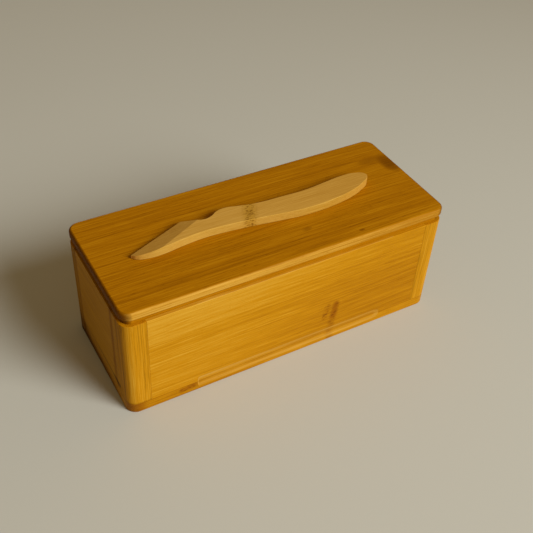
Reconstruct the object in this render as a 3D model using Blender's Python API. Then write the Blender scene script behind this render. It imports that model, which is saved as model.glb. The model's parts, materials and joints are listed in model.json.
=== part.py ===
"""Bamboo butter box with a lift-off lid and a loose butter knife.

Metres, +Z up.  The origin is under the middle of the base, on the surface that the box stands on.
+X runs along the box, and -Y is the front.
"""

import math

import bmesh
import bpy
from mathutils import Matrix, Vector

MM = 0.001

# Driving dimensions of the box
LENGTH = 200 * MM
DEPTH = 79.5 * MM
HEIGHT = 74.8 * MM
CORNER_RADIUS = 6.4 * MM
EDGE_ROUNDING = 0.4 * MM
GAP = 0.3 * MM

# Base and walls
BASE_THICKNESS = 6.6 * MM
WALL_THICKNESS = 7.5 * MM
POST_LENGTH = 13 * MM
POST_DEPTH = 11 * MM
CAVITY_CORNER_RADIUS = 2 * MM

# Lid: a board with a finger step cut round its underside, and a panel that keeps it in the mouth
LID_THICKNESS = 8.6 * MM
LID_STEP_HEIGHT = 3.8 * MM
LID_STEP_DEPTH = 1.8 * MM
LID_EDGE_ROUNDING = 1.7 * MM
LID_LOWER_EDGE_ROUNDING = 0.5 * MM
LOCATING_PANEL_THICKNESS = 5 * MM
LOCATING_PANEL_CLEARANCE = 0.7 * MM

# Shallow finger grooves, which straddle the joint of the walls and the base
GROOVE_DEPTH = 0.5 * MM
LONG_GROOVE_LENGTH = 123 * MM
LONG_GROOVE_HEIGHT = 8.4 * MM
LONG_GROOVE_MIDDLE = 6.3 * MM
LONG_GROOVE_OFFSET = 2.2 * MM
END_GROOVE_LENGTH = 57 * MM
END_GROOVE_HEIGHT = 11 * MM
END_GROOVE_MIDDLE = 7.5 * MM

# Knife
KNIFE_THICKNESS = 4.8 * MM
KNIFE_BEVEL_TILT = math.radians(15)
KNIFE_RIDGE_START = (-61.5 * MM, -5.5 * MM)
KNIFE_RIDGE_END = (-40.0 * MM, 5.0 * MM)
CORNER = "VECTOR"
SMOOTH = "AUTO"
KNIFE_OUTLINE_MM = (
    # tip and belly of the blade
    (-79.0, -1.9, CORNER),
    (-76.8, -4.2, SMOOTH),
    (-71.5, -5.9, SMOOTH),
    (-63.0, -6.3, SMOOTH),
    (-50.0, -4.7, SMOOTH),
    (-37.0, -3.7, SMOOTH),
    # belly of the handle
    (-22.0, -4.6, SMOOTH),
    (-7.0, -6.4, SMOOTH),
    (8.0, -8.7, SMOOTH),
    (25.0, -10.5, SMOOTH),
    (42.0, -9.8, SMOOTH),
    (55.0, -7.6, SMOOTH),
    (65.0, -3.9, SMOOTH),
    # round end of the handle
    (71.0, 0.2, SMOOTH),
    (71.6, 3.4, SMOOTH),
    (67.0, 6.5, SMOOTH),
    # back of the handle
    (57.0, 7.6, SMOOTH),
    (45.0, 6.4, SMOOTH),
    (30.0, 5.0, SMOOTH),
    (14.0, 5.4, SMOOTH),
    (1.0, 6.0, SMOOTH),
    (-10.0, 8.1, SMOOTH),
    # shoulder, finger notch and start of the cutting edge
    (-19.0, 10.0, SMOOTH),
    (-24.0, 9.2, SMOOTH),
    (-28.5, 6.6, SMOOTH),
    (-33.0, 5.8, SMOOTH),
    (-39.0, 8.1, SMOOTH),
    (-44.8, 11.4, CORNER),
)

# Heights that follow
LID_UNDERSIDE = HEIGHT - LID_THICKNESS
WALL_BOTTOM = BASE_THICKNESS + GAP
WALL_TOP = LID_UNDERSIDE - GAP
KNIFE_BOTTOM = HEIGHT + GAP

# Fineness of the faceted rounds
CORNER_SEGMENTS = 8
LID_RIM_SEGMENTS = 3
CHAMFER_SEGMENTS = 1
GROOVE_SEGMENTS = 96
OUTLINE_SEGMENTS = 5
SHARP_ANGLE = math.radians(35)
WELD_DISTANCE = 0.01 * MM
OVERSIZE = 5 * MM

# Bamboo: base colour and roughness
FINISHES = {
    "panel_bamboo": ((0.50, 0.25, 0.035), 0.45),
    "post_bamboo": ((0.53, 0.25, 0.03), 0.45),
    "base_bamboo": ((0.50, 0.25, 0.035), 0.45),
    "lid_bamboo": ((0.42, 0.19, 0.02), 0.40),
    "knife_bamboo": ((0.55, 0.33, 0.10), 0.60),
}

MODEL_NAME = "butter_box"
CUTTERS_NAME = "butter_box_cutters"


def clear_scene():
    for old in list(bpy.data.objects):
        bpy.data.objects.remove(old, do_unlink=True)


def make_collection(name):
    collection = bpy.data.collections.new(name)
    bpy.context.scene.collection.children.link(collection)
    return collection


def make_material(name, colour, roughness):
    material = bpy.data.materials.new(name)
    material.use_nodes = True
    shader = material.node_tree.nodes["Principled BSDF"]
    shader.inputs["Base Color"].default_value = (*colour, 1.0)
    shader.inputs["Roughness"].default_value = roughness
    shader.inputs["Metallic"].default_value = 0.0
    return material


def new_object(name, mesh, collection, material=None):
    piece = bpy.data.objects.new(name, mesh)
    collection.objects.link(piece)
    if material is not None:
        mesh.materials.append(material)
    return piece


def block_mesh(name, low, high, radius=0.0, rounded=lambda middle: True):
    """A box from its low and high corners, with a radius on the upright edges that rounded() picks."""
    low, high = Vector(low), Vector(high)
    shape = bmesh.new()
    bmesh.ops.create_cube(shape, size=1.0)
    bmesh.ops.scale(shape, vec=high - low, verts=shape.verts)
    bmesh.ops.translate(shape, vec=(low + high) / 2, verts=shape.verts)
    if radius:
        upright = [
            edge
            for edge in shape.edges
            if abs(edge.verts[0].co.z - edge.verts[1].co.z) > (high.z - low.z) / 2
            and rounded((edge.verts[0].co + edge.verts[1].co) / 2)
        ]
        bmesh.ops.bevel(
            shape,
            geom=upright,
            offset=radius,
            offset_type="OFFSET",
            segments=CORNER_SEGMENTS,
            profile=0.5,
            affect="EDGES",
        )
    mesh = bpy.data.meshes.new(name)
    shape.to_mesh(mesh)
    shape.free()
    return mesh


def round_rims(mesh, low_width, high_width, segments):
    """Rounds the edges round the underside and the top of an upright block, each by its own width."""
    shape = bmesh.new()
    shape.from_mesh(mesh)
    heights = [vertex.co.z for vertex in shape.verts]
    for height, width in ((min(heights), low_width), (max(heights), high_width)):
        rim = [
            edge
            for edge in shape.edges
            if all(abs(vertex.co.z - height) < GAP for vertex in edge.verts)
        ]
        bmesh.ops.bevel(
            shape,
            geom=rim,
            offset=width,
            offset_type="OFFSET",
            segments=segments,
            profile=0.5,
            affect="EDGES",
        )
    shape.to_mesh(mesh)
    shape.free()
    mesh.shade_smooth()
    mesh.set_sharp_from_angle(angle=SHARP_ANGLE)


def combine(piece, other, operation):
    boolean = piece.modifiers.new(other.name, "BOOLEAN")
    boolean.operation = operation
    boolean.solver = "EXACT"
    boolean.object = other


def make_helper(name, mesh, cutters):
    """An object that only cuts or joins others."""
    helper = new_object(name, mesh, cutters)
    helper.hide_render = True
    helper.display_type = "WIRE"
    return helper


def groove_cutter(name, length, height, cutters):
    """A long round bar along X.  Its flank cuts a shallow cove of the groove's height and depth."""
    radius = ((height / 2) ** 2 + GROOVE_DEPTH**2) / (2 * GROOVE_DEPTH)
    shape = bmesh.new()
    bmesh.ops.create_cone(
        shape, cap_ends=True, segments=GROOVE_SEGMENTS, radius1=radius, radius2=radius, depth=length
    )
    bmesh.ops.rotate(shape, matrix=Matrix.Rotation(math.radians(90), 3, "Y"), verts=shape.verts)
    mesh = bpy.data.meshes.new(name)
    shape.to_mesh(mesh)
    shape.free()
    return make_helper(name, mesh, cutters), radius


def make_grooves(cutters):
    """The four finger grooves: a long one on the front and the back, and a taller one on each end."""
    long_groove = (LONG_GROOVE_LENGTH, LONG_GROOVE_HEIGHT, LONG_GROOVE_MIDDLE, LONG_GROOVE_OFFSET)
    end_groove = (END_GROOVE_LENGTH, END_GROOVE_HEIGHT, END_GROOVE_MIDDLE, 0)
    grooves = {}
    for side, turn, half, (length, height, middle, offset) in (
        ("front", 0, DEPTH / 2, long_groove),
        ("right", 90, LENGTH / 2, end_groove),
        ("back", 180, DEPTH / 2, long_groove),
        ("left", 270, LENGTH / 2, end_groove),
    ):
        cutter, radius = groove_cutter("groove_" + side, length, height, cutters)
        place = Vector((offset, -(half - GROOVE_DEPTH + radius), middle))
        place.rotate(Matrix.Rotation(math.radians(turn), 3, "Z"))
        cutter.location = place
        cutter.rotation_euler = (0, 0, math.radians(turn))
        grooves[side] = cutter
    return grooves


def make_base(parts, material, grooves):
    half_x, half_y = LENGTH / 2, DEPTH / 2
    mesh = block_mesh(
        "base_board", (-half_x, -half_y, 0), (half_x, half_y, BASE_THICKNESS), CORNER_RADIUS
    )
    round_rims(mesh, EDGE_ROUNDING, EDGE_ROUNDING / 4, CHAMFER_SEGMENTS)
    base = new_object("base_board", mesh, parts, material)
    for groove in grooves.values():
        combine(base, groove, "DIFFERENCE")
    return base


def make_panels(parts, material, grooves):
    """Four wall panels, each between two corner posts."""
    half_x, half_y = LENGTH / 2, DEPTH / 2
    long_half = half_x - POST_LENGTH - GAP
    short_half = half_y - POST_DEPTH - GAP
    inner_x, inner_y = half_x - WALL_THICKNESS, half_y - WALL_THICKNESS
    for name, low, high, side in (
        ("front_panel", (-long_half, -half_y), (long_half, -inner_y), "front"),
        ("back_panel", (-long_half, inner_y), (long_half, half_y), "back"),
        ("left_end_panel", (-half_x, -short_half), (-inner_x, short_half), "left"),
        ("right_end_panel", (inner_x, -short_half), (half_x, short_half), "right"),
    ):
        mesh = block_mesh(name, (*low, WALL_BOTTOM), (*high, WALL_TOP))
        panel = new_object(name, mesh, parts, material)
        combine(panel, grooves[side], "DIFFERENCE")


def make_posts(parts, material, cutters):
    """Four corner posts, round outside and cut to an L inside, flush with the panels."""
    half_x, half_y = LENGTH / 2, DEPTH / 2
    inner_x, inner_y = half_x - WALL_THICKNESS, half_y - WALL_THICKNESS
    cavity = make_helper(
        "cavity",
        block_mesh(
            "cavity",
            (-inner_x, -inner_y, WALL_BOTTOM - OVERSIZE),
            (inner_x, inner_y, WALL_TOP + OVERSIZE),
            CAVITY_CORNER_RADIUS,
        ),
        cutters,
    )
    for name, side_x, side_y in (
        ("front_left_post", -1, -1),
        ("front_right_post", 1, -1),
        ("back_right_post", 1, 1),
        ("back_left_post", -1, 1),
    ):
        xs = sorted((side_x * half_x, side_x * (half_x - POST_LENGTH)))
        ys = sorted((side_y * half_y, side_y * (half_y - POST_DEPTH)))
        mesh = block_mesh(
            name,
            (xs[0], ys[0], WALL_BOTTOM),
            (xs[1], ys[1], WALL_TOP),
            CORNER_RADIUS,
            rounded=lambda middle: abs(middle.x) > inner_x and abs(middle.y) > inner_y,
        )
        post = new_object(name, mesh, parts, material)
        combine(post, cavity, "DIFFERENCE")


def make_lid(parts, material, panel_material, cutters):
    half_x, half_y = LENGTH / 2, DEPTH / 2
    step_top = LID_UNDERSIDE + LID_STEP_HEIGHT
    mesh = block_mesh(
        "lid_board", (-half_x, -half_y, step_top), (half_x, half_y, HEIGHT), CORNER_RADIUS
    )
    round_rims(mesh, LID_LOWER_EDGE_ROUNDING, LID_EDGE_ROUNDING, LID_RIM_SEGMENTS)
    lid = new_object("lid_board", mesh, parts, material)
    step_x, step_y = half_x - LID_STEP_DEPTH, half_y - LID_STEP_DEPTH
    step = make_helper(
        "lid_step",
        block_mesh(
            "lid_step",
            (-step_x, -step_y, LID_UNDERSIDE),
            (step_x, step_y, step_top + LID_EDGE_ROUNDING),
            CORNER_RADIUS - LID_STEP_DEPTH,
        ),
        cutters,
    )
    combine(lid, step, "UNION")
    mouth_x = half_x - WALL_THICKNESS - LOCATING_PANEL_CLEARANCE
    mouth_y = half_y - WALL_THICKNESS - LOCATING_PANEL_CLEARANCE
    top = LID_UNDERSIDE - GAP
    mesh = block_mesh(
        "lid_locating_panel",
        (-mouth_x, -mouth_y, top - LOCATING_PANEL_THICKNESS),
        (mouth_x, mouth_y, top),
        CAVITY_CORNER_RADIUS + LOCATING_PANEL_CLEARANCE,
    )
    round_rims(mesh, EDGE_ROUNDING, EDGE_ROUNDING / 4, CHAMFER_SEGMENTS)
    new_object("lid_locating_panel", mesh, parts, panel_material)


def knife_blank(parts, material):
    """The knife's flat outline, filled and given its thickness, as a mesh."""
    curve = bpy.data.curves.new("knife_outline", "CURVE")
    curve.dimensions = "2D"
    curve.fill_mode = "BOTH"
    curve.extrude = KNIFE_THICKNESS / 2
    curve.resolution_u = OUTLINE_SEGMENTS
    spline = curve.splines.new("BEZIER")
    spline.bezier_points.add(len(KNIFE_OUTLINE_MM) - 1)
    spline.use_cyclic_u = True
    for point, (x, y, handle) in zip(spline.bezier_points, KNIFE_OUTLINE_MM):
        point.co = (x * MM, y * MM, 0)
        point.handle_left_type = handle
        point.handle_right_type = handle
    outline = bpy.data.objects.new("knife_outline", curve)
    outline.location = (0, 0, KNIFE_BOTTOM + KNIFE_THICKNESS / 2)
    bpy.context.scene.collection.objects.link(outline)
    depsgraph = bpy.context.evaluated_depsgraph_get()
    mesh = bpy.data.meshes.new_from_object(outline.evaluated_get(depsgraph))
    mesh.name = "butter_knife"
    mesh.materials.clear()
    shape = bmesh.new()
    shape.from_mesh(mesh)
    bmesh.ops.remove_doubles(shape, verts=shape.verts, dist=WELD_DISTANCE)
    shape.to_mesh(mesh)
    shape.free()
    knife = new_object("butter_knife", mesh, parts, material)
    knife.matrix_world = outline.matrix_world.copy()
    bpy.data.objects.remove(outline, do_unlink=True)
    return knife


def make_knife(parts, material, cutters):
    """The blade's facet: everything above a plane that falls from its ridge to the cutting edge."""
    knife = knife_blank(parts, material)
    start, end = Vector((*KNIFE_RIDGE_START, 0)), Vector((*KNIFE_RIDGE_END, 0))
    along = (end - start).normalized()
    towards_edge = Vector((-along.y, along.x, 0))
    up = towards_edge * math.sin(KNIFE_BEVEL_TILT) + Vector((0, 0, math.cos(KNIFE_BEVEL_TILT)))
    side = up.cross(along)
    size = LENGTH / 2
    mesh = block_mesh("blade_facet", (-size, -size, 0), (size, size, size))
    facet = make_helper("blade_facet", mesh, cutters)
    rotation = Matrix((along, side, up)).transposed().to_4x4()
    ridge = start + Vector((0, 0, KNIFE_BOTTOM + KNIFE_THICKNESS))
    facet.matrix_world = Matrix.Translation(ridge) @ rotation
    combine(knife, facet, "DIFFERENCE")


def main():
    clear_scene()
    parts = make_collection(MODEL_NAME)
    cutters = make_collection(CUTTERS_NAME)
    bamboo = {name: make_material(name, *finish) for name, finish in FINISHES.items()}
    grooves = make_grooves(cutters)
    make_base(parts, bamboo["base_bamboo"], grooves)
    make_panels(parts, bamboo["panel_bamboo"], grooves)
    make_posts(parts, bamboo["post_bamboo"], cutters)
    make_lid(parts, bamboo["lid_bamboo"], bamboo["panel_bamboo"], cutters)
    make_knife(parts, bamboo["knife_bamboo"], cutters)


main()
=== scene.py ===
"""Looks for the bamboo butter box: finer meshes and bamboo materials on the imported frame."""

import json
import math

import bmesh
import bpy
from mathutils import Matrix, Vector


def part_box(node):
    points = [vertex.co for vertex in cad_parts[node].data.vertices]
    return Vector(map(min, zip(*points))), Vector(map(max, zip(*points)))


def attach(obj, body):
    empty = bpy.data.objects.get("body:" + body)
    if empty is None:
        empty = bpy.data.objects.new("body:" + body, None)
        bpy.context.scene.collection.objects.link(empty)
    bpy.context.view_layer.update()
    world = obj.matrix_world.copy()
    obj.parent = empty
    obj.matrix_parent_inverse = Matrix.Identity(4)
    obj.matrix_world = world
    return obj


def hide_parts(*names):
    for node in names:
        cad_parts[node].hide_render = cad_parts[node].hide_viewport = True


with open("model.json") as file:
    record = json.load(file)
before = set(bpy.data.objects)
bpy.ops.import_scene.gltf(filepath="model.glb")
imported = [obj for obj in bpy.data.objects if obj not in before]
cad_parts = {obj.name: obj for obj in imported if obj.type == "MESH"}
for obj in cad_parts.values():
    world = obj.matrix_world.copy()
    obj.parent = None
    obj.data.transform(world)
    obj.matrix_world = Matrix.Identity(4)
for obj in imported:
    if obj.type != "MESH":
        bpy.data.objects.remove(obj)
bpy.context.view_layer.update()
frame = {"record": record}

MM = 0.001
X, Y, Z = 0, 1, 2

# Camera at the photograph's viewing angle
CAMERA_AZIMUTH = math.radians(-31.86)
CAMERA_ELEVATION = math.radians(41.54)
CAMERA_ROLL = math.radians(3.75)
CAMERA_DISTANCE = 0.4896
CAMERA_TARGET = Vector((0.0052, 0.0, 0.0348))
LENS = 55.72
SENSOR = 36.0

CLIP_START = 0.01

# Floor and lights
FLOOR_HALF = 3.0
FLOOR_COLOUR = (0.565, 0.575, 0.585)
FLOOR_ROUGHNESS = 0.9
FLOOR_SPECULAR = 0.1
KEY_TARGET = Vector((-0.05, -0.12, 0))
KEY_AZIMUTH = math.radians(31)
KEY_ELEVATION = math.radians(35)
KEY_DISTANCE = 2.2
KEY_SIZE = 1.3
KEY_SPREAD = math.radians(70)
KEY_POWER = 9.7
KEY_COLOUR = (1.0, 0.985, 0.85)
WORLD_COLOUR = (1.0, 0.70, 0.32, 1.0)
WORLD_STRENGTH = 0.23

# Shape details that are finer than the CAD model's
CORNER_RADIUS = 6.4 * MM
CAVITY_RADIUS = 2.0 * MM
CORNER_STEPS = 14
RIM_STEPS = 8
SHARP_ANGLE = math.radians(13)
LID_TOP_ROUNDING = 1.7 * MM
LID_LOWER_ROUNDING = 0.45 * MM
LID_STEP_HEIGHT = 3.8 * MM
LID_STEP_DEPTH = 1.8 * MM
LID_STEP_FILLET = 0.8 * MM
LID_FOOT_CHAMFER = 0.15 * MM
LOCATING_RADIUS = 2.7 * MM
GLUE_CHAMFER = 0.10 * MM
GLUE_GAP = 0.02 * MM
REST_GAP = 0.05 * MM
RIM_EASE = 0.35 * MM
BASE_EASE = 0.5 * MM
GROOVE_DEPTH = 0.5 * MM
LONG_GROOVE_LENGTH = 123 * MM
LONG_GROOVE_HEIGHT = 8.4 * MM
LONG_GROOVE_MIDDLE = 6.3 * MM
LONG_GROOVE_OFFSET = 2.2 * MM
LONG_GROOVE_RUNOUTS = (1.0 * MM, 5.0 * MM)
END_GROOVE_LENGTH = 57.2 * MM
END_GROOVE_HEIGHT = 11 * MM
END_GROOVE_MIDDLE = 7.5 * MM
END_GROOVE_RUNOUTS = (0.4 * MM, 0.4 * MM)
GROOVE_STEPS = 400

# Bamboo: lengths in millimetres, and noise sizes along and across the grain
PLACE_SCALE = 1 / MM
STRAY_NOISE = {"along": 70, "across": 14, "detail": 1.0, "shift": 3.0}
BAND_NOISE = {"along": 170, "across": 5, "detail": 2.0, "shift": 11.0}
STREAK_NOISE = {"along": 50, "across": 0.75, "detail": 3.0, "shift": 17.0}
FIBRE_NOISE = {"along": 16, "across": 0.3, "detail": 1.0, "shift": 23.0}
FLECK_NOISE = {"along": 5, "across": 0.3, "detail": 1.0, "shift": 29.0}
DASH_SIZE = (2.6, 0.6)
SEED_SPACING = 7.31
STRIP_SEED_SPACING = 3.7
FLECK_EDGES = (0.62, 0.74)
DASH_EDGES = (0.50, 0.64)
PORE_EDGES = (0.28, 0.42)
STRAY = 0.6
STRIP_WIDTH = 20.0
PORES_PER_MM = 1.3
GROOVE_BLUR = 0.3
SHADED_LIP_HEIGHT = 2.4
BUMP_STRENGTH = 0.35
BUMP_DISTANCE = 0.12 * MM
BUMP_OF_STREAKS, BUMP_OF_FIBRES, BUMP_OF_FLECKS = 0.6, 1.0, -0.3
ROUGHNESS_SWING = 0.12
SPOT_HEART = 0.7
SPECULAR = 0.045
# Colour multiplied into the wood where shade is painted
PAINTED_SHADE_COLOUR = (0.2, 0.17, 0.1)
# Where the painted shade on the long sides begins and ends, in millimetres along x
EDGE_SHADE_FROM, EDGE_SHADE_TO = -60, 95

# Knife, with the same outline as in the CAD source
KNIFE_ROUNDING = 0.45 * MM
KNIFE_ROUNDING_STEPS = 3
KNIFE_CURVE_STEPS = 14
WELD_DISTANCE = 0.002 * MM
KNIFE_BEVEL_TILT = math.radians(15)
KNIFE_RIDGE_START = Vector((-61.5 * MM, -5.5 * MM, 0))
KNIFE_RIDGE_END = Vector((-40.0 * MM, 5.0 * MM, 0))
CORNER = "VECTOR"
SMOOTH = "AUTO"
KNIFE_OUTLINE_MM = (
    # tip and belly of the blade
    (-79.0, -1.9, CORNER),
    (-76.8, -4.2, SMOOTH),
    (-71.5, -5.9, SMOOTH),
    (-63.0, -6.3, SMOOTH),
    (-50.0, -4.7, SMOOTH),
    (-37.0, -3.7, SMOOTH),
    # belly of the handle
    (-22.0, -4.6, SMOOTH),
    (-7.0, -6.4, SMOOTH),
    (8.0, -8.7, SMOOTH),
    (25.0, -10.5, SMOOTH),
    (42.0, -9.8, SMOOTH),
    (55.0, -7.6, SMOOTH),
    (65.0, -3.9, SMOOTH),
    # round end of the handle
    (71.0, 0.2, SMOOTH),
    (71.6, 3.4, SMOOTH),
    (67.0, 6.5, SMOOTH),
    # back of the handle
    (57.0, 7.6, SMOOTH),
    (45.0, 6.4, SMOOTH),
    (30.0, 5.0, SMOOTH),
    (14.0, 5.4, SMOOTH),
    (1.0, 6.0, SMOOTH),
    (-10.0, 8.1, SMOOTH),
    # shoulder, finger notch and start of the cutting edge
    (-19.0, 10.0, SMOOTH),
    (-24.0, 9.2, SMOOTH),
    (-28.5, 6.6, SMOOTH),
    (-33.0, 5.8, SMOOTH),
    (-39.0, 8.1, SMOOTH),
    (-44.8, 11.4, CORNER),
)

BASE_LOW, BASE_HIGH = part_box("base_board")
LID_LOW, LID_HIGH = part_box("lid_board")
PANEL_LOW, PANEL_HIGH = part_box("lid_locating_panel")
KNIFE_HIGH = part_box("butter_knife")[1]
HALF_X, HALF_Y = BASE_HIGH.x, BASE_HIGH.y
WALL_BOTTOM = BASE_HIGH.z + GLUE_GAP
WALL_TOP = LID_LOW.z - REST_GAP
INNER_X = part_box("right_end_panel")[0].x
INNER_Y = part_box("back_panel")[0].y
POST_X = (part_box("front_panel")[1].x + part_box("front_right_post")[0].x) / 2
POST_Y = (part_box("right_end_panel")[1].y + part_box("back_right_post")[0].y) / 2


# ---------------------------------------------------------------- mesh helpers


def corner_arc(centre, radius, start, steps):
    """Points of a quarter turn, counter-clockwise from the start angle in degrees."""
    turns = [math.radians(start + 90 * step / steps) for step in range(steps + 1)]
    return [(centre[0] + radius * math.cos(t), centre[1] + radius * math.sin(t)) for t in turns]


def rounded_rectangle(half_x, half_y, radius, steps=CORNER_STEPS):
    outline = []
    for sign_x, sign_y, start in ((1, 1, 0), (-1, 1, 90), (-1, -1, 180), (1, -1, 270)):
        centre = (sign_x * (half_x - radius), sign_y * (half_y - radius))
        outline += corner_arc(centre, radius, start, steps)
    return outline


def link(name, mesh):
    piece = bpy.data.objects.new(name, mesh)
    bpy.context.scene.collection.objects.link(piece)
    return piece


def shade(piece):
    """Smooth shading with sharp edges, in which the large flat faces keep their own normals."""
    piece.data.shade_smooth()
    piece.data.set_sharp_from_angle(angle=SHARP_ANGLE)
    weighted = piece.modifiers.new("weighted_normals", "WEIGHTED_NORMAL")
    weighted.keep_sharp = True
    weighted.weight = 100
    apply_modifiers(piece)


def stacked_rings(name, rings):
    """A closed skin over outlines of equal length, each with its height, from bottom to top."""
    shape = bmesh.new()
    loops = [[shape.verts.new((x, y, z)) for x, y in outline] for outline, z in rings]
    for lower, upper in zip(loops, loops[1:]):
        for index in range(len(lower)):
            after = (index + 1) % len(lower)
            shape.faces.new((lower[index], lower[after], upper[after], upper[index]))
    shape.faces.new(reversed(loops[0]))
    shape.faces.new(loops[-1])
    bmesh.ops.recalc_face_normals(shape, faces=shape.faces)
    mesh = bpy.data.meshes.new(name)
    shape.to_mesh(mesh)
    shape.free()
    return link(name, mesh)


def eased_profile(low, high, low_ease, high_ease, steps=RIM_STEPS):
    """(inset, height) pairs up the side of a board whose lower and upper edges are rounded."""
    profile = []
    for step in range(steps + 1):
        turn = math.radians(90 * step / steps)
        profile.append((low_ease * (1 - math.sin(turn)), low + low_ease * (1 - math.cos(turn))))
    for step in range(steps + 1):
        turn = math.radians(90 * step / steps)
        profile.append((high_ease * (1 - math.cos(turn)), high - high_ease * (1 - math.sin(turn))))
    return profile


def board(name, half_x, half_y, radius, profile):
    rings = [
        (rounded_rectangle(half_x - inset, half_y - inset, radius - inset), height)
        for inset, height in profile
    ]
    return stacked_rings(name, rings)


def apply_modifiers(piece):
    depsgraph = bpy.context.evaluated_depsgraph_get()
    mesh = bpy.data.meshes.new_from_object(piece.evaluated_get(depsgraph))
    mesh.name = piece.name
    piece.modifiers.clear()
    piece.data = mesh


def cut(piece, cutters):
    for cutter in cutters:
        boolean = piece.modifiers.new(cutter.name, "BOOLEAN")
        boolean.operation = "DIFFERENCE"
        boolean.solver = "EXACT"
        boolean.object = cutter
    apply_modifiers(piece)


# ---------------------------------------------------------------- pieces


def groove_bar(name, length, height, runouts):
    """A round bar along X whose flank cuts a cove; the cove runs out to nothing at both ends."""
    radius = ((height / 2) ** 2 + GROOVE_DEPTH**2) / (2 * GROOVE_DEPTH)
    start, end = runouts
    rings = []
    for along, size in (
        (-length / 2, radius - GROOVE_DEPTH),
        (-length / 2 + start / 3, radius - GROOVE_DEPTH / 3),
        (-length / 2 + start, radius),
        (length / 2 - end, radius),
        (length / 2 - end / 3, radius - GROOVE_DEPTH / 3),
        (length / 2, radius - GROOVE_DEPTH),
    ):
        turns = [2 * math.pi * step / GROOVE_STEPS for step in range(GROOVE_STEPS)]
        rings.append(([(size * math.cos(turn), size * math.sin(turn)) for turn in turns], along))
    bar = stacked_rings(name, rings)
    bar.data.transform(Matrix.Rotation(math.radians(90), 4, "Y"))
    return bar, radius


def groove_cutters():
    """The bars that cut the four shallow finger grooves into the walls and the base."""
    long_groove = (LONG_GROOVE_LENGTH, LONG_GROOVE_HEIGHT, LONG_GROOVE_RUNOUTS)
    end_groove = (END_GROOVE_LENGTH, END_GROOVE_HEIGHT, END_GROOVE_RUNOUTS)
    cutters = {}
    for side, turn, half, size, middle, offset in (
        ("front", 0, HALF_Y, long_groove, LONG_GROOVE_MIDDLE, LONG_GROOVE_OFFSET),
        ("right", 90, HALF_X, end_groove, END_GROOVE_MIDDLE, 0),
        ("back", 180, HALF_Y, long_groove, LONG_GROOVE_MIDDLE, LONG_GROOVE_OFFSET),
        ("left", 270, HALF_X, end_groove, END_GROOVE_MIDDLE, 0),
    ):
        bar, radius = groove_bar("groove_" + side, *size)
        place = Matrix.Translation((offset, -(half - GROOVE_DEPTH + radius), middle))
        bar.data.transform(Matrix.Rotation(math.radians(turn), 4, "Z") @ place)
        cutters[side] = bar
    return cutters


def make_base(grooves):
    profile = eased_profile(BASE_LOW.z, BASE_HIGH.z, BASE_EASE, GLUE_CHAMFER)
    base = board("bamboo_base_board", HALF_X, HALF_Y, CORNER_RADIUS, profile)
    cut(base, grooves.values())
    return base


def make_panels(grooves):
    """Four wall panels; their faces are eased at the rim, and their ends meet the posts."""
    long_half, short_half = POST_X - GLUE_GAP / 2, POST_Y - GLUE_GAP / 2
    profile = eased_profile(WALL_BOTTOM, WALL_TOP, GLUE_CHAMFER, RIM_EASE)
    panels = {}
    for name, side, turn, half_length, inner, outer in (
        ("front_panel", "front", 0, long_half, INNER_Y, HALF_Y),
        ("right_end_panel", "right", 90, short_half, INNER_X, HALF_X),
        ("back_panel", "back", 180, long_half, INNER_Y, HALF_Y),
        ("left_end_panel", "left", 270, short_half, INNER_X, HALF_X),
    ):
        rings = [
            (chamfered_rectangle(half_length, -outer + inset, -inner - inset), height)
            for inset, height in profile
        ]
        panel = stacked_rings("bamboo_" + name, rings)
        panel.data.transform(Matrix.Rotation(math.radians(turn), 4, "Z"))
        cut(panel, [grooves[side]])
        panels[name] = panel
    return panels


def chamfered_rectangle(half_x, low_y, high_y):
    """A rectangle whose corners are chamfered, so that glue joints show as fine lines."""
    near_x, near_low, near_high = half_x - GLUE_CHAMFER, low_y + GLUE_CHAMFER, high_y - GLUE_CHAMFER
    right = [(near_x, low_y), (half_x, near_low), (half_x, near_high), (near_x, high_y)]
    return right + [(-x, y) for x, y in reversed(right)]


def post_outline(side_x, side_y, inset):
    """The L of a corner post in plan: round outside, flush with the panels inside."""
    post_x, post_y = POST_X + GLUE_GAP / 2, POST_Y + GLUE_GAP / 2
    outer_x, outer_y = HALF_X - inset, HALF_Y - inset
    inner_x, inner_y = INNER_X + inset, INNER_Y + inset
    fillet = corner_arc(
        (INNER_X - CAVITY_RADIUS, INNER_Y - CAVITY_RADIUS), CAVITY_RADIUS + inset, 0, CORNER_STEPS
    )
    corner = corner_arc(
        (HALF_X - CORNER_RADIUS, HALF_Y - CORNER_RADIUS), CORNER_RADIUS - inset, 0, CORNER_STEPS
    )
    outline = [
        (post_x + GLUE_CHAMFER, outer_y),
        (post_x, outer_y - GLUE_CHAMFER),
        (post_x, inner_y + GLUE_CHAMFER),
        (post_x + GLUE_CHAMFER, inner_y),
        *reversed(fillet),
        (inner_x, post_y + GLUE_CHAMFER),
        (inner_x + GLUE_CHAMFER, post_y),
        (outer_x - GLUE_CHAMFER, post_y),
        (outer_x, post_y + GLUE_CHAMFER),
        *corner,
    ]
    return [(side_x * x, side_y * y) for x, y in outline]


def make_posts():
    profile = eased_profile(WALL_BOTTOM, WALL_TOP, GLUE_CHAMFER, RIM_EASE)
    posts = {}
    for name, side_x, side_y in (
        ("front_left_post", -1, -1),
        ("front_right_post", 1, -1),
        ("back_right_post", 1, 1),
        ("back_left_post", -1, 1),
    ):
        rings = [(post_outline(side_x, side_y, inset), height) for inset, height in profile]
        posts[name] = stacked_rings("bamboo_" + name, rings)
    return posts


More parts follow.
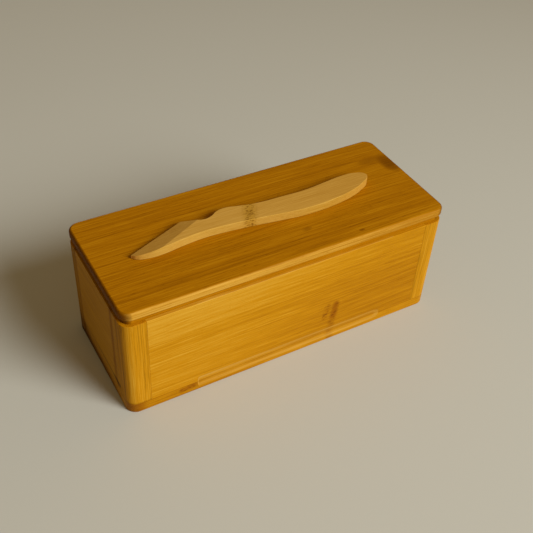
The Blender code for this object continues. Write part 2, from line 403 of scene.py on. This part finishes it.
def make_lid():
    """The lid's board in one profile: the stepped underside, the lower edge, the side and the top."""
    step_top = LID_LOW.z + LID_STEP_HEIGHT
    profile = [
        (LID_STEP_DEPTH + LID_FOOT_CHAMFER, LID_LOW.z),
        (LID_STEP_DEPTH, LID_LOW.z + LID_FOOT_CHAMFER),
    ]
    for step in range(RIM_STEPS + 1):
        turn = math.radians(90 * step / RIM_STEPS)
        inset = LID_STEP_DEPTH - LID_STEP_FILLET * (1 - math.cos(turn))
        profile.append((inset, step_top - LID_STEP_FILLET * (1 - math.sin(turn))))
    profile += eased_profile(step_top, LID_HIGH.z, LID_LOWER_ROUNDING, LID_TOP_ROUNDING)
    return board("bamboo_lid_board", HALF_X, HALF_Y, CORNER_RADIUS, profile)


def make_locating_panel():
    profile = eased_profile(PANEL_LOW.z, PANEL_HIGH.z, RIM_EASE, GLUE_CHAMFER)
    return board("bamboo_lid_locating_panel", PANEL_HIGH.x, PANEL_HIGH.y, LOCATING_RADIUS, profile)


def make_knife():
    thickness = KNIFE_HIGH.z - LID_HIGH.z - REST_GAP
    curve = bpy.data.curves.new("knife_outline", "CURVE")
    curve.dimensions = "2D"
    curve.fill_mode = "BOTH"
    curve.extrude = thickness / 2 - KNIFE_ROUNDING
    curve.bevel_depth = KNIFE_ROUNDING
    curve.bevel_resolution = KNIFE_ROUNDING_STEPS
    curve.offset = -KNIFE_ROUNDING
    curve.resolution_u = KNIFE_CURVE_STEPS
    spline = curve.splines.new("BEZIER")
    spline.bezier_points.add(len(KNIFE_OUTLINE_MM) - 1)
    spline.use_cyclic_u = True
    for point, (x, y, handle) in zip(spline.bezier_points, KNIFE_OUTLINE_MM):
        point.co = (x * MM, y * MM, 0)
        point.handle_left_type = handle
        point.handle_right_type = handle
    outline = link("knife_outline", curve)
    depsgraph = bpy.context.evaluated_depsgraph_get()
    mesh = bpy.data.meshes.new_from_object(outline.evaluated_get(depsgraph))
    mesh.name = "bamboo_butter_knife"
    mesh.materials.clear()
    shape = bmesh.new()
    shape.from_mesh(mesh)
    bmesh.ops.remove_doubles(shape, verts=shape.verts, dist=WELD_DISTANCE)
    bmesh.ops.translate(
        shape, vec=(0, 0, LID_HIGH.z + REST_GAP + thickness / 2), verts=shape.verts
    )
    shape.to_mesh(mesh)
    shape.free()
    bpy.data.objects.remove(outline, do_unlink=True)
    knife = link("bamboo_butter_knife", mesh)
    facet = blade_facet()
    cut(knife, [facet])
    bpy.data.objects.remove(facet, do_unlink=True)
    return knife


def blade_facet():
    """A block that takes away all that is above the plane from the blade's ridge to its edge."""
    along = (KNIFE_RIDGE_END - KNIFE_RIDGE_START).normalized()
    towards_edge = Vector((-along.y, along.x, 0))
    up = towards_edge * math.sin(KNIFE_BEVEL_TILT) + Vector((0, 0, math.cos(KNIFE_BEVEL_TILT)))
    side = up.cross(along)
    size = HALF_X
    shape = bmesh.new()
    bmesh.ops.create_cube(shape, size=2 * size)
    bmesh.ops.translate(shape, vec=(0, 0, size), verts=shape.verts)
    rotation = Matrix((along, side, up)).transposed()
    bmesh.ops.rotate(shape, matrix=rotation, verts=shape.verts)
    bmesh.ops.translate(
        shape, vec=KNIFE_RIDGE_START + Vector((0, 0, KNIFE_HIGH.z)), verts=shape.verts
    )
    mesh = bpy.data.meshes.new("blade_facet")
    shape.to_mesh(mesh)
    shape.free()
    return link("blade_facet", mesh)


# ---------------------------------------------------------------- materials


def tint(red, green, blue):
    """A linear colour from display values of 0 to 255."""
    parts = [value / 255 for value in (red, green, blue)]
    return tuple(part / 12.92 if part < 0.04045 else ((part + 0.055) / 1.055) ** 2.4 for part in parts)


def floor_material():
    material = bpy.data.materials.new("floor")
    material.use_nodes = True
    shader = material.node_tree.nodes["Principled BSDF"]
    shader.inputs["Base Color"].default_value = (*FLOOR_COLOUR, 1.0)
    shader.inputs["Roughness"].default_value = FLOOR_ROUGHNESS
    shader.inputs["Specular IOR Level"].default_value = FLOOR_SPECULAR
    return material


class Wood:
    """One bamboo material. Lengths are in millimetres in the piece's own space."""

    def __init__(self, name, grain, seed):
        self.material = bpy.data.materials.new(name)
        self.material.use_nodes = True
        self.nodes = self.material.node_tree.nodes
        self.links = self.material.node_tree.links
        self.shader = self.nodes["Principled BSDF"]
        self.grain = grain
        self.seed = seed
        source = self.nodes.new("ShaderNodeTexCoord")
        self.place = self.vector("SCALE", source.outputs["Object"], scale=PLACE_SCALE)
        self.x, self.y, self.z = self.split(self.place)
        self.normal = [self.math("ABSOLUTE", part) for part in self.split(source.outputs["Normal"])]
        strayed = self.stray()
        self.bands = self.noise(strayed, **BAND_NOISE)[0]
        self.streaks = self.noise(strayed, **STREAK_NOISE)[0]
        self.fibres = self.noise(strayed, **FIBRE_NOISE)[0]
        self.flecks = self.ease(self.noise(strayed, **FLECK_NOISE)[0], *FLECK_EDGES)

    def put(self, socket, value):
        if isinstance(value, bpy.types.NodeSocket):
            self.links.new(value, socket)
        else:
            socket.default_value = value

    def math(self, operation, *values, clamp=False):
        node = self.nodes.new("ShaderNodeMath")
        node.operation = operation
        node.use_clamp = clamp
        for socket, value in zip(node.inputs, values):
            self.put(socket, value)
        return node.outputs[0]

    def vector(self, operation, *values, scale=None):
        node = self.nodes.new("ShaderNodeVectorMath")
        node.operation = operation
        for socket, value in zip(node.inputs, values):
            self.put(socket, value)
        if scale is not None:
            self.put(node.inputs["Scale"], scale)
        return node.outputs["Value" if operation in ("DOT_PRODUCT", "LENGTH") else "Vector"]

    def split(self, vector):
        node = self.nodes.new("ShaderNodeSeparateXYZ")
        self.put(node.inputs[0], vector)
        return list(node.outputs)

    def ease(self, value, low, high, start=0.0, end=1.0):
        """A smooth step from start to end while the value goes from low to high."""
        node = self.nodes.new("ShaderNodeMapRange")
        node.interpolation_type = "SMOOTHSTEP"
        for socket, number in zip(node.inputs, (value, low, high, start, end)):
            self.put(socket, number)
        return node.outputs[0]

    def mix(self, factor, first, second, mode="MIX"):
        node = self.nodes.new("ShaderNodeMix")
        node.data_type = "RGBA"
        node.blend_type = mode
        node.clamp_factor = True
        for index, value in ((0, factor), (6, first), (7, second)):
            if isinstance(value, tuple):
                value = (*value, 1.0)
            self.put(node.inputs[index], value)
        return node.outputs[2]

    def ramp(self, value, colours):
        node = self.nodes.new("ShaderNodeValToRGB")
        stops = node.color_ramp.elements
        while len(stops) < len(colours):
            stops.new(0.5)
        for stop, (position, colour) in zip(stops, colours):
            stop.position = position
            stop.color = (*colour, 1.0)
        self.put(node.inputs[0], value)
        return node.outputs[0]

    def noise(self, vector, along, across, detail, shift):
        """Noise whose features are about along by across millimetres, drawn out with the grain."""
        scale = [1 / across] * 3
        scale[self.grain] = 1 / along
        offset = self.seed * SEED_SPACING + shift
        node = self.nodes.new("ShaderNodeTexNoise")
        node.inputs["Scale"].default_value = 1.0
        node.inputs["Detail"].default_value = detail
        moved = self.vector("MULTIPLY_ADD", vector, tuple(scale), (offset, offset, offset))
        self.put(node.inputs["Vector"], moved)
        return node.outputs["Fac"], node.outputs["Color"]

    def stray(self):
        """Object space in which the fibres stray a little from straight."""
        colour = self.noise(self.place, **STRAY_NOISE)[1]
        centred = self.vector("SUBTRACT", colour, (0.5, 0.5, 0.5))
        reach = [STRAY] * 3
        reach[self.grain] = 0.0
        return self.vector("MULTIPLY_ADD", centred, tuple(reach), self.place)

    def swing(self, fac, amount):
        """Noise moved to run about zero, times the amount."""
        return self.math("MULTIPLY", self.math("SUBTRACT", fac, 0.5), amount)


def total(wood, first, *others):
    for other in others:
        first = wood.math("ADD", first, other)
    return first


def surface(wood, look):
    """Roughness, specular and a fine relief, all from the same streaks and fibres as the colour."""
    roughness = total(
        wood,
        look["roughness"],
        wood.swing(wood.fibres, ROUGHNESS_SWING),
        wood.swing(wood.bands, ROUGHNESS_SWING),
    )
    wood.put(wood.shader.inputs["Roughness"], roughness)
    wood.shader.inputs["Specular IOR Level"].default_value = SPECULAR
    relief = total(
        wood,
        wood.swing(wood.streaks, BUMP_OF_STREAKS),
        wood.swing(wood.fibres, BUMP_OF_FIBRES),
        wood.math("MULTIPLY", wood.flecks, BUMP_OF_FLECKS),
    )
    bump = wood.nodes.new("ShaderNodeBump")
    bump.inputs["Strength"].default_value = BUMP_STRENGTH
    bump.inputs["Distance"].default_value = BUMP_DISTANCE
    wood.put(bump.inputs["Height"], relief)
    wood.put(wood.shader.inputs["Normal"], bump.outputs[0])


def patch(wood, centre, size, axes=(X, Y, Z)):
    """One at the centre of an ellipse or ellipsoid in the given axes, fading to zero at its edge."""
    parts = []
    for axis, middle, half in zip(axes, centre, size):
        away = wood.math("SUBTRACT", (wood.x, wood.y, wood.z)[axis], middle)
        scaled = wood.math("DIVIDE", away, half)
        parts.append(wood.math("MULTIPLY", scaled, scaled))
    return wood.ease(total(wood, *parts), 1.0, 0.0)


def near_line(wood, start, end, flat):
    """Distance in millimetres from a line between two points, seen square on to the flat axis."""
    keep = [1.0] * 3
    keep[flat] = 0.0
    start, end = Vector(start) * Vector(keep), Vector(end) * Vector(keep)
    along = end - start
    away = wood.vector("MULTIPLY_ADD", wood.place, tuple(keep), tuple(-start))
    share = wood.math(
        "MULTIPLY", wood.vector("DOT_PRODUCT", away, tuple(along)), 1 / along.length_squared, clamp=True
    )
    foot = wood.vector("SCALE", tuple(along), scale=share)
    return wood.vector("LENGTH", wood.vector("SUBTRACT", away, foot))


def cane_node(wood, colour, look, start, end, flat, reach, halo, dark, dash=DASH_SIZE, shift=0):
    """The ring where two lengths of the cane meet: a band of short dark dashes in a soft halo."""
    away = near_line(wood, start, end, flat)
    band = wood.ease(away, reach, reach * 0.15)
    grain = wood.noise(wood.place, *dash, detail=1.0, shift=shift + 5)[0]
    dashes = wood.math("MULTIPLY", wood.ease(grain, *DASH_EDGES), band)
    colour = wood.mix(wood.math("MULTIPLY", band, halo), colour, look["halo"])
    return wood.mix(wood.math("MULTIPLY", dashes, dark), colour, look["knot"])


def end_grain(wood, look):
    """Cut fibres: a field of darker pores in paler wood."""
    pores = wood.nodes.new("ShaderNodeTexVoronoi")
    pores.inputs["Scale"].default_value = PORES_PER_MM
    flat = [1.0] * 3
    flat[wood.grain] = 0.0
    wood.put(pores.inputs["Vector"], wood.vector("MULTIPLY", wood.place, tuple(flat)))
    return wood.mix(wood.ease(pores.outputs["Distance"], *PORE_EDGES), look["pore"], look["end"])


def strip_tone(wood, across, amount):
    """A small step of tone from each glued strip of cane to the next."""
    number = wood.math("FLOOR", wood.math("DIVIDE", across, STRIP_WIDTH))
    noise = wood.nodes.new("ShaderNodeTexWhiteNoise")
    noise.noise_dimensions = "1D"
    wood.put(noise.inputs["W"], wood.math("ADD", number, wood.seed * STRIP_SEED_SPACING))
    return wood.swing(noise.outputs["Value"], amount)


def board_tone(wood, look, slopes, lines):
    """How light a board is: its strips, noises and flecks, slopes across it and lines along it."""
    axes = (wood.x, wood.y, wood.z)
    across = axes[look.get("across", Y if wood.grain == X else X)]
    tone = total(
        wood,
        look["tone"],
        strip_tone(wood, across, look["strips"]),
        wood.swing(wood.bands, look["bands"]),
        wood.swing(wood.streaks, look["streaks"]),
        wood.swing(wood.fibres, look["fibres"]),
    )
    for axis, low, high, change in slopes:
        tone = wood.math("ADD", tone, wood.ease(axes[axis], low, high, 0.0, change))
    for axis, middle, half_width, change in lines:
        away = wood.math("ABSOLUTE", wood.math("SUBTRACT", axes[axis], middle))
        line = wood.math("MULTIPLY", wood.ease(away, half_width, 0.0), change)
        broken = wood.ease(wood.streaks, 0.25, 0.55, 0.4, 1.0)
        tone = wood.math("ADD", tone, wood.math("MULTIPLY", line, broken))
    tone = wood.math("SUBTRACT", tone, wood.math("MULTIPLY", wood.flecks, look["flecks"]))
    if "facet" in look:
        # only where the top is tilted, between the steep rim and the level face: on the knife, painted
        # shade on the blade's facet, which tilts away from the light
        tilted = wood.math(
            "MULTIPLY", wood.ease(wood.normal[Z], 0.80, 0.90), wood.ease(wood.normal[Z], 0.99, 0.975)
        )
        tone = wood.math("ADD", tone, wood.math("MULTIPLY", tilted, look["facet"]))
    return tone


def pale_edge(wood, colour, look, tone):
    """The paler long side of the lid or the knife, above a height, with painted shade that darkens it
    to the right.
    """
    side = wood.math(
        "MULTIPLY", wood.ease(wood.normal[Y], 0.35, 0.8), wood.ease(wood.z, *look["edge_from"])
    )
    right_shade = wood.ease(wood.x, EDGE_SHADE_FROM, EDGE_SHADE_TO, 0.0, look["edge_shade_to_right"])
    return wood.mix(side, colour, wood.ramp(wood.math("ADD", tone, right_shade), look["edge"]))


def cut_ends(wood, colour, look):
    """End grain, which begins to show where a face has only just turned across the fibres."""
    turned = wood.math(
        "ADD",
        wood.ease(wood.normal[wood.grain], 0.04, 0.22, 0.0, 0.35),
        wood.ease(wood.normal[wood.grain], 0.1, 0.75, 0.0, 0.65),
    )
    return wood.mix(turned, colour, end_grain(wood, look))


def dark_spot(wood, colour, look, centre, size, plane, strength):
    """A ragged spot with a darker heart."""
    spot = wood.math("MULTIPLY", patch(wood, centre, size, plane), strength)
    ragged = wood.math("MULTIPLY", spot, wood.ease(wood.streaks, 0.3, 0.6, 0.6, 1.0))
    heart = wood.math("MULTIPLY", wood.math("MULTIPLY", ragged, ragged), SPOT_HEART)
    return wood.mix(heart, wood.mix(ragged, colour, look["halo"]), look["knot"])


def bamboo(
    name, grain, seed, look, slopes=(), lines=(), stains_and_shade=(), rings=(), groove=None, painted_shade=()
):
    """Bamboo along a grain axis, with what marks one board.

    slopes: axis, from, to, change of tone
    lines: axis, middle, half width, change of tone
    stains_and_shade: centre, size, plane, strength of each dark spot; real marks on the lid, painted
    shade on the base's corner
    rings: cane nodes, with what cane_node takes after the look
    groove: the side that has a finger groove, as a direction in x and y
    painted_shade: centre, size, strength of each patch of painted shade
    """
    wood = Wood(name, grain, seed)
    tone = board_tone(wood, look, slopes, lines)
    colour = wood.ramp(tone, look["ramp"])
    if "edge" in look:
        colour = pale_edge(wood, colour, look, tone)
    colour = cut_ends(wood, colour, look)
    for place in stains_and_shade:
        colour = dark_spot(wood, colour, look, *place)
    for number, place in enumerate(rings):
        colour = cane_node(wood, colour, look, *place, shift=number)
    if groove:
        colour = cut_groove(wood, colour, look, tone, groove)
    # Painted shade: each patch multiplies the colour darker where the light is blocked
    for centre, size, strength in painted_shade:
        share = wood.math("MULTIPLY", patch(wood, centre, size), strength)
        colour = wood.mix(share, colour, PAINTED_SHADE_COLOUR, mode="MULTIPLY")
    wood.put(wood.shader.inputs["Base Color"], colour)
    surface(wood, look)
    return wood.material


def cut_groove(wood, colour, look, tone, side):
    """Paler cut fibres in a finger groove, palest along its flanks, where a painted highlight is added,
    and painted shade under an end groove's upper lip.
    """
    on_end = side[0] != 0
    half = (HALF_X if on_end else HALF_Y) / MM
    length, height, middle, offset = (
        (END_GROOVE_LENGTH, END_GROOVE_HEIGHT, END_GROOVE_MIDDLE, 0.0)
        if on_end
        else (LONG_GROOVE_LENGTH, LONG_GROOVE_HEIGHT, LONG_GROOVE_MIDDLE, -side[1] * LONG_GROOVE_OFFSET)
    )
    half_length = length / MM / 2
    deepest = GROOVE_DEPTH / MM
    outward = wood.math("MULTIPLY", wood.x if on_end else wood.y, side[0] or side[1])
    along = wood.math("ABSOLUTE", wood.math("SUBTRACT", wood.y if on_end else wood.x, offset / MM))
    depth = wood.math("SUBTRACT", half, outward)
    within = wood.math(
        "MULTIPLY",
        wood.ease(along, half_length + GROOVE_BLUR, half_length - 0.2),
        wood.ease(depth, 1.1, 0.9),
    )
    floor = wood.math("MULTIPLY", wood.ease(depth, 0.02, 0.12), within)
    # Along the flanks: paler cut fibres and a painted highlight
    flanks = wood.math(
        "MULTIPLY",
        wood.ease(depth, 0.05 * deepest, 0.45 * deepest),
        wood.ease(depth, 0.96 * deepest, 0.72 * deepest),
    )
    share = total(wood, look["groove_floor"], wood.math("MULTIPLY", flanks, look["groove_flanks_pale_and_highlight"]))
    colour = wood.mix(wood.math("MULTIPLY", floor, share), colour, wood.ramp(tone, look["cut"]))
    if on_end:
        top = (middle + height / 2) / MM
        # Painted shade under the end groove's upper lip, which faces down away from the light
        lip = wood.math(
            "MULTIPLY",
            wood.ease(wood.z, top - SHADED_LIP_HEIGHT, top - SHADED_LIP_HEIGHT / 2),
            wood.ease(wood.z, top + 0.5, top),
        )
        lip = wood.math("MULTIPLY", lip, wood.ease(depth, -0.1, 0.0))
        inside = wood.math("MULTIPLY", lip, within)
        colour = wood.mix(wood.math("MULTIPLY", inside, look["groove_lip_shade"]), colour, look["knot"])
    return colour


def shades(*rows):
    """Ramp stops, each a position and display values."""
    return tuple((position, tint(*colour)) for position, colour in rows)


# ---------------------------------------------------------------- stage


def make_floor():
    """A plain floor under the object."""
    shape = bmesh.new()
    bmesh.ops.create_grid(shape, x_segments=1, y_segments=1, size=FLOOR_HALF)
    mesh = bpy.data.meshes.new("floor")
    shape.to_mesh(mesh)
    shape.free()
    floor = link("floor", mesh)
    floor.data.materials.append(floor_material())


def direction(azimuth, elevation):
    """From the object towards an azimuth (0 is from the front) and an elevation."""
    return Vector(
        (
            math.sin(azimuth) * math.cos(elevation),
            -math.cos(azimuth) * math.cos(elevation),
            math.sin(elevation),
        )
    )


def make_camera():
    back = direction(CAMERA_AZIMUTH, CAMERA_ELEVATION)
    right = (-back).cross(Vector((0, 0, 1))).normalized()
    up = right.cross(-back)
    tilted_right = math.cos(CAMERA_ROLL) * right + math.sin(CAMERA_ROLL) * up
    tilted_up = math.cos(CAMERA_ROLL) * up - math.sin(CAMERA_ROLL) * right
    data = bpy.data.cameras.new("camera")
    data.lens = LENS
    data.sensor_width = SENSOR
    data.clip_start = CLIP_START
    camera = bpy.data.objects.new("camera", data)
    bpy.context.scene.collection.objects.link(camera)
    rotation = Matrix((tilted_right, tilted_up, back)).transposed().to_4x4()
    camera.matrix_world = Matrix.Translation(CAMERA_TARGET + back * CAMERA_DISTANCE) @ rotation
    bpy.context.scene.camera = camera


def make_lights():
    """One soft key light from the front right, and an even warm world."""
    data = bpy.data.lights.new("key", "AREA")
    data.shape = "DISK"
    data.size = KEY_SIZE
    data.spread = KEY_SPREAD
    data.energy = KEY_POWER
    data.color = KEY_COLOUR
    away = direction(KEY_AZIMUTH, KEY_ELEVATION)
    light = bpy.data.objects.new("key", data)
    light.location = KEY_TARGET + away * KEY_DISTANCE
    light.rotation_euler = away.to_track_quat("Z", "Y").to_euler()
    bpy.context.scene.collection.objects.link(light)
    world = bpy.data.worlds.new("studio")
    world.use_nodes = True
    background = world.node_tree.nodes["Background"]
    background.inputs["Color"].default_value = WORLD_COLOUR
    background.inputs["Strength"].default_value = WORLD_STRENGTH
    bpy.context.scene.world = world


# ---------------------------------------------------------------- finishes

BOX_LOOK = {
    "tone": 0.5,
    "strips": 0.10,
    "bands": 0.40,
    "streaks": 0.75,
    "fibres": 0.75,
    "flecks": 0.16,
    "roughness": 0.50,
    "ramp": shades((0.0, (160, 102, 0)), (0.5, (195, 136, 14)), (1.0, (216, 168, 60))),
    "cut": shades((0.0, (190, 136, 40)), (0.5, (208, 160, 72)), (1.0, (222, 180, 100))),
    "halo": tint(152, 90, 3),
    "knot": tint(116, 62, 1),
    "end": tint(186, 128, 30),
    "pore": tint(150, 98, 22),
    "groove_floor": 0.1,
    # Groove flanks: paler cut fibres with a painted highlight; under an end groove's lip: painted shade
    "groove_flanks_pale_and_highlight": 0.48,
    "groove_lip_shade": 0.35,
}
FRONT_LOOK = dict(BOX_LOOK, across=Z, bands=0.45, streaks=0.65)
# The end panels are darker than the other boards: painted shade, as the left end stands in shade
SHADED_END_LOOK = dict(
    BOX_LOOK,
    across=Z,
    ramp=shades((0.0, (142, 92, 8)), (0.5, (176, 126, 28)), (1.0, (196, 150, 56))),
    cut=shades((0.0, (150, 104, 40)), (0.5, (184, 136, 64)), (1.0, (200, 156, 84))),
    halo=tint(124, 76, 10),
    knot=tint(66, 34, 3),
    groove_flanks_pale_and_highlight=0.0,
    groove_lip_shade=0.25,
)
BASE_LOOK = dict(
    BOX_LOOK,
    strips=0.0,
    tone=0.22,
    end=tint(184, 132, 44),
    pore=tint(154, 104, 26),
)
LID_LOOK = dict(
    BOX_LOOK,
    bands=0.5,
    streaks=1.15,
    flecks=0.32,
    ramp=shades((0.0, (134, 80, 0)), (0.5, (173, 112, 2)), (1.0, (196, 138, 18))),
    edge=shades((0.0, (172, 116, 20)), (0.5, (203, 152, 56)), (1.0, (218, 172, 82))),
    edge_from=(69.6, 70.1),
    edge_shade_to_right=-0.42,
    halo=tint(126, 72, 0),
    knot=tint(92, 50, 0),
    end=tint(118, 70, 0),
    pore=tint(86, 48, 0),
)
POST_LOOK = dict(
    BOX_LOOK,
    strips=0.0,
    bands=0.5,
    streaks=0.85,
    ramp=shades((0.0, (142, 98, 6)), (0.5, (197, 137, 15)), (1.0, (216, 168, 60))),
    end=tint(188, 126, 8),
    pore=tint(162, 104, 5),
)
KNIFE_LOOK = dict(
    BOX_LOOK,
    strips=0.0,
    bands=0.3,
    streaks=0.7,
    fibres=0.8,
    ramp=shades((0.0, (182, 132, 49)), (0.5, (204, 157, 72)), (1.0, (218, 176, 98))),
    # Painted shade on the blade's facet, which tilts away from the light
    facet=-0.1,
    halo=tint(184, 138, 44),
    knot=tint(128, 84, 18),
    edge=shades((0.0, (180, 134, 38)), (0.5, (203, 162, 75)), (1.0, (216, 178, 96))),
    edge_from=(-2.0, -1.0),
    edge_shade_to_right=-0.2,
    end=tint(200, 150, 66),
    pore=tint(184, 134, 52),
)
# Painted shade in the back bottom corner of the left side, which stands in shade
LEFT_CORNER_PAINTED_SHADE = ((-100.0, 40.0, 3.0), (12.0, 26.0, 18.0), 0.7)


def finishes():
    """The material of every node; each board is cut from its own length of cane."""
    return {
        "base_board": bamboo(
            "bamboo_base",
            X,
            1,
            BASE_LOOK,
            rings=(
                ((28.0, 0.0, 0.0), (27.0, 0.0, 6.6), Y, 4.0, 0.35, 0.5),
                ((-69.0, 0.0, 4.0), (-61.5, 0.0, 5.0), Y, 2.6, 0.7, 0.8),
            ),
            # Painted shade on the base's front left corner, where it turns away from the light
            stains_and_shade=(((-97.0, -38.0), (9.0, 6.0), (X, Y), 0.75),),
            lines=((Z, 6.6, 0.9, -0.35),),
            slopes=((X, -60, -20, 0.12),),
            groove=(0, -1),
            # Painted shade: the base's left end darkens towards the floor, as in a contact shadow
            painted_shade=(
                ((-100.0, 14.0, -2.0), (10.0, 58.0, 9.0), 1.0),
                LEFT_CORNER_PAINTED_SHADE,
            ),
        ),
        "front_panel": bamboo(
            "bamboo_front",
            X,
            2,
            FRONT_LOOK,
            rings=(
                ((29.5, 0.0, 28.0), (28.5, 0.0, 19.0), Y, 3.6, 0.9, 0.8),
                ((24.0, 0.0, 28.0), (22.5, 0.0, 20.0), Y, 3.2, 0.3, 0.8),
                ((28.0, 0.0, 18.0), (27.0, 0.0, 4.0), Y, 4.0, 0.3, 0.4),
            ),
            lines=((Z, 33.0, 0.5, 0.15), (Z, 12.0, 0.8, -0.12)),
            groove=(0, -1),
            # Painted shade: darker to the right, where the light falls off; paler towards the top
            slopes=((X, -70, 80, -0.30), (Z, 40, 58, 0.20)),
        ),
        "back_panel": bamboo(
            "bamboo_back",
            X,
            3,
            FRONT_LOOK,
            rings=(((-36.0, 0.0, 50.0), (-34.0, 0.0, 38.0), Y, 3.6, 0.5, 0.7),),
            groove=(0, 1),
        ),
        "left_end_panel": bamboo(
            "bamboo_left_end",
            Y,
            4,
            SHADED_END_LOOK,
            lines=((Y, -23.5, 3.2, -0.5), (Y, 28.4, 3.2, -0.5)),
            groove=(-1, 0),
            # Painted shade: the left end's back bottom corner, and under the upper lip of its groove
            painted_shade=(
                LEFT_CORNER_PAINTED_SHADE,
                ((-100.0, -24.5, 11.4), (10.0, 8.0, 3.4), 0.8),
                ((-100.0, -10.0, 12.4), (10.0, 24.0, 2.2), 0.4),
            ),
        ),
        "right_end_panel": bamboo("bamboo_right_end", Y, 5, SHADED_END_LOOK, groove=(1, 0)),
        "front_left_post": bamboo(
            "bamboo_front_left_post",
            Z,
            6,
            POST_LOOK,
            lines=((X, -90.2, 0.5, -0.2), (X, -87.5, 0.7, -0.25), (Z, 7.0, 0.9, -0.3)),
            # Painted shade on the post's left side, which turns away from the light
            slopes=((Y, -39.7, -34.0, -0.32),),
        ),
        "front_right_post": bamboo(
            "bamboo_front_right_post",
            Z,
            7,
            POST_LOOK,
            lines=((X, 90.5, 0.4, 0.3),),
            slopes=((X, 94.0, 88.0, -0.2),),
        ),
        "back_right_post": bamboo("bamboo_back_right_post", Z, 8, POST_LOOK),
        "back_left_post": bamboo(
            "bamboo_back_left_post",
            Z,
            9,
            POST_LOOK,
            # Painted shade on the post's flat left side, which stands in shade
            slopes=((Y, 38.5, 33.0, -0.5),),
            # Painted shade in the back bottom corner of the left side
            painted_shade=(LEFT_CORNER_PAINTED_SHADE,),
        ),
        "lid_board": bamboo(
            "bamboo_lid",
            X,
            10,
            LID_LOOK,
            stains_and_shade=(
                ((96.0, 12.5), (7.5, 12.0), (X, Y), 0.8),
                ((87.0, 19.0), (12.0, 5.0), (X, Y), 0.4),
                ((44.0, -35.0), (2.5, 1.2), (X, Y), 0.7),
                ((17.0, -21.0), (4.0, 2.0), (X, Y), 0.4),
            ),
            lines=((Y, -30.0, 1.4, -0.25), (Y, -27.0, 0.9, -0.2), (Y, 14.0, 1.0, -0.15)),
        ),
        "lid_locating_panel": bamboo("bamboo_lid_panel", X, 11, BOX_LOOK),
        "butter_knife": bamboo(
            "bamboo_knife",
            X,
            12,
            KNIFE_LOOK,
            rings=(((-5.0, 6.5, 0.0), (-12.0, -9.0, 0.0), Z, 5.5, 0.7, 0.8, (1.5, 0.8)),),
            # Painted shade: darker to the right, where the light falls off
            slopes=((X, -20, 60, -0.15),),
        ),
    }


# ---------------------------------------------------------------- assembly


def main():
    bpy.context.scene.view_settings.view_transform = "Standard"
    make_camera()
    make_lights()
    make_floor()
    grooves = groove_cutters()
    pieces = {"base_board": make_base(grooves)}
    pieces.update(make_panels(grooves))
    pieces.update(make_posts())
    pieces["lid_board"] = make_lid()
    pieces["lid_locating_panel"] = make_locating_panel()
    pieces["butter_knife"] = make_knife()
    for cutter in grooves.values():
        bpy.data.objects.remove(cutter, do_unlink=True)
    materials = finishes()
    for body, nodes in frame["record"]["behaviour"]["bodies"].items():
        for node in nodes:
            piece = pieces[node]
            shade(piece)
            piece.data.materials.clear()
            piece.data.materials.append(materials[node])
            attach(piece, body)
            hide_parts(node)


main()
